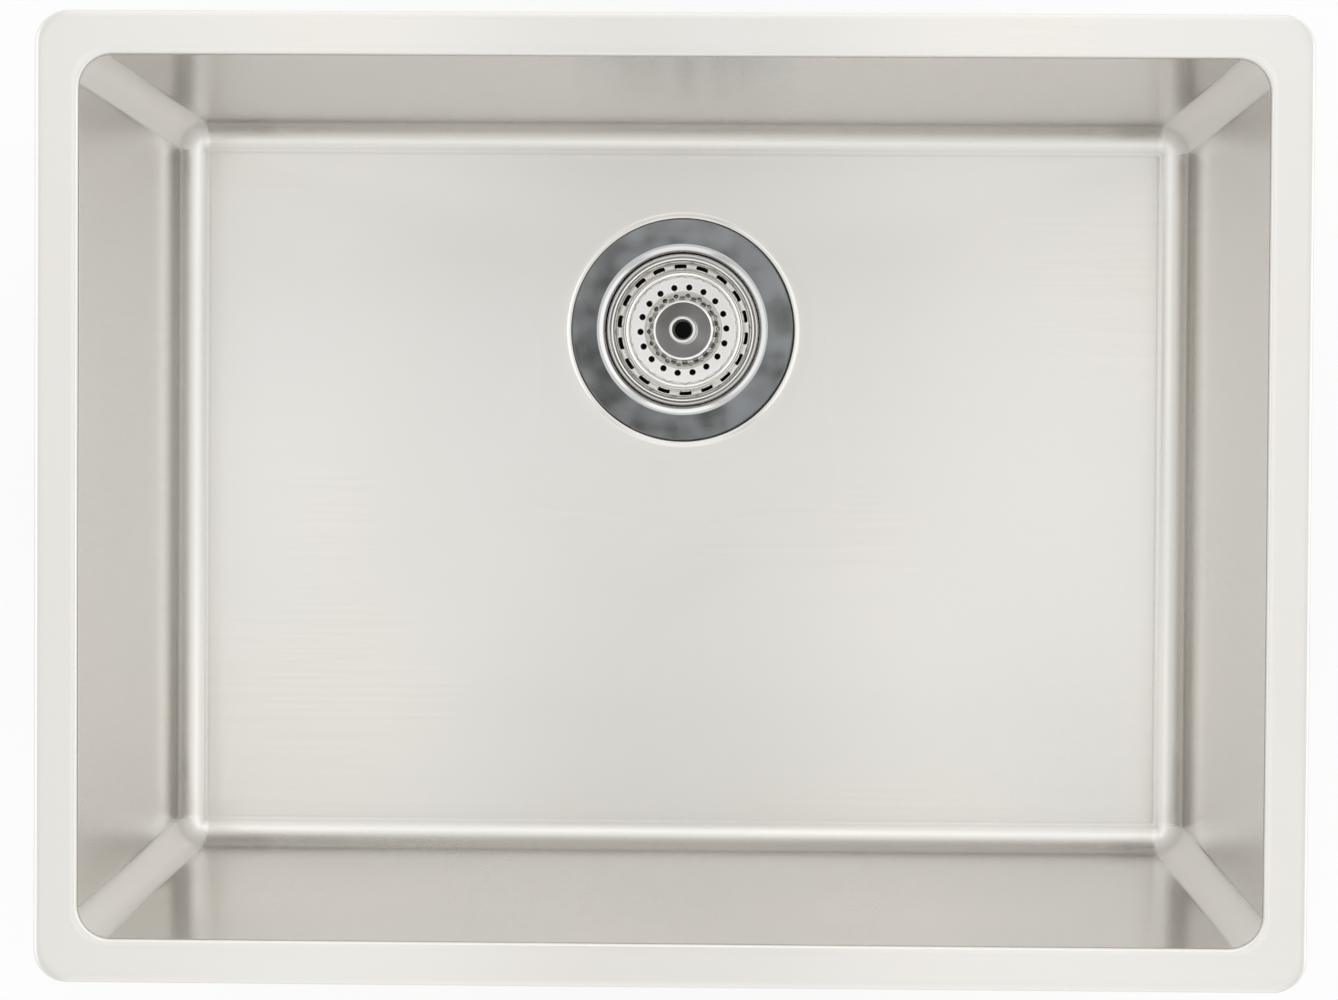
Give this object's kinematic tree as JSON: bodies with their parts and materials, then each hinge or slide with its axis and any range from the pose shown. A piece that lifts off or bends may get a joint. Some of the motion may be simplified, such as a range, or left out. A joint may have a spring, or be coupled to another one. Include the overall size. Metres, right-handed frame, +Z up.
{
  "type": "undermount utility sink",
  "caption": "Deep rectangular stainless undermount sink with a flat flange, rounded corners, a floor that falls to a rear drain, and a strainer with a lift-out perforated basket.",
  "frame": {"origin": "middle of the bowl opening, on the flange top face that goes against the worktop", "axes": "+Z up out of the bowl, +X along the long side to the right, +Y towards the rear wall, where the drain is nearer"},
  "size_m": [0.58, 0.443, 0.4181],
  "materials": {
    "bowl_steel": "satin brushed stainless sheet, long grain on flange and floor",
    "strainer_steel": "turned and polished stainless",
    "basket_steel": "polished stainless",
    "pad_rubber": "matt sound-deadening rubber with a fine pebble grain",
    "seal_rubber": "smooth black sealing rubber",
    "washer_fibre": "pressed fibre",
    "washer_plastic": "polyethylene",
    "nut_zinc": "die-cast zinc with a thin bright plating",
    "plated_brass": "chrome-plated brass",
    "tip_nylon": "moulded nylon"
  },
  "bodies": {
    "sink": {"bowl": "bowl_steel", "pad_front": "pad_rubber", "pad_right": "pad_rubber", "pad_rear": "pad_rubber", "pad_left": "pad_rubber", "pad_floor_left": "pad_rubber", "pad_floor_right": "pad_rubber", "pad_floor_front": "pad_rubber", "strainer_body": "strainer_steel", "flange_gasket": "seal_rubber", "bowl_washer": "seal_rubber", "friction_washer": "washer_fibre", "lock_nut": "nut_zinc", "outlet_crossbar": "strainer_steel", "tailpiece_washer": "washer_plastic", "tailpiece": "plated_brass", "coupling_nut": "plated_brass"},
    "tip": {"snap_tip": "tip_nylon"},
    "basket": {"basket_cup": "basket_steel", "basket_post": "basket_steel", "stopper": "seal_rubber", "stopper_nut": "basket_steel"}
  },
  "joints": [
    {"name": "basket_lift", "type": "slide", "parent": "sink", "child": "tip", "axis": [0, 0, 1], "range_m": [0, 0.33]},
    {"name": "basket_turn", "type": "hinge", "parent": "tip", "child": "basket", "pos_m": [0, 0.0815, -0.3016], "axis": [0, 0, 1], "continuous": true}
  ]
}
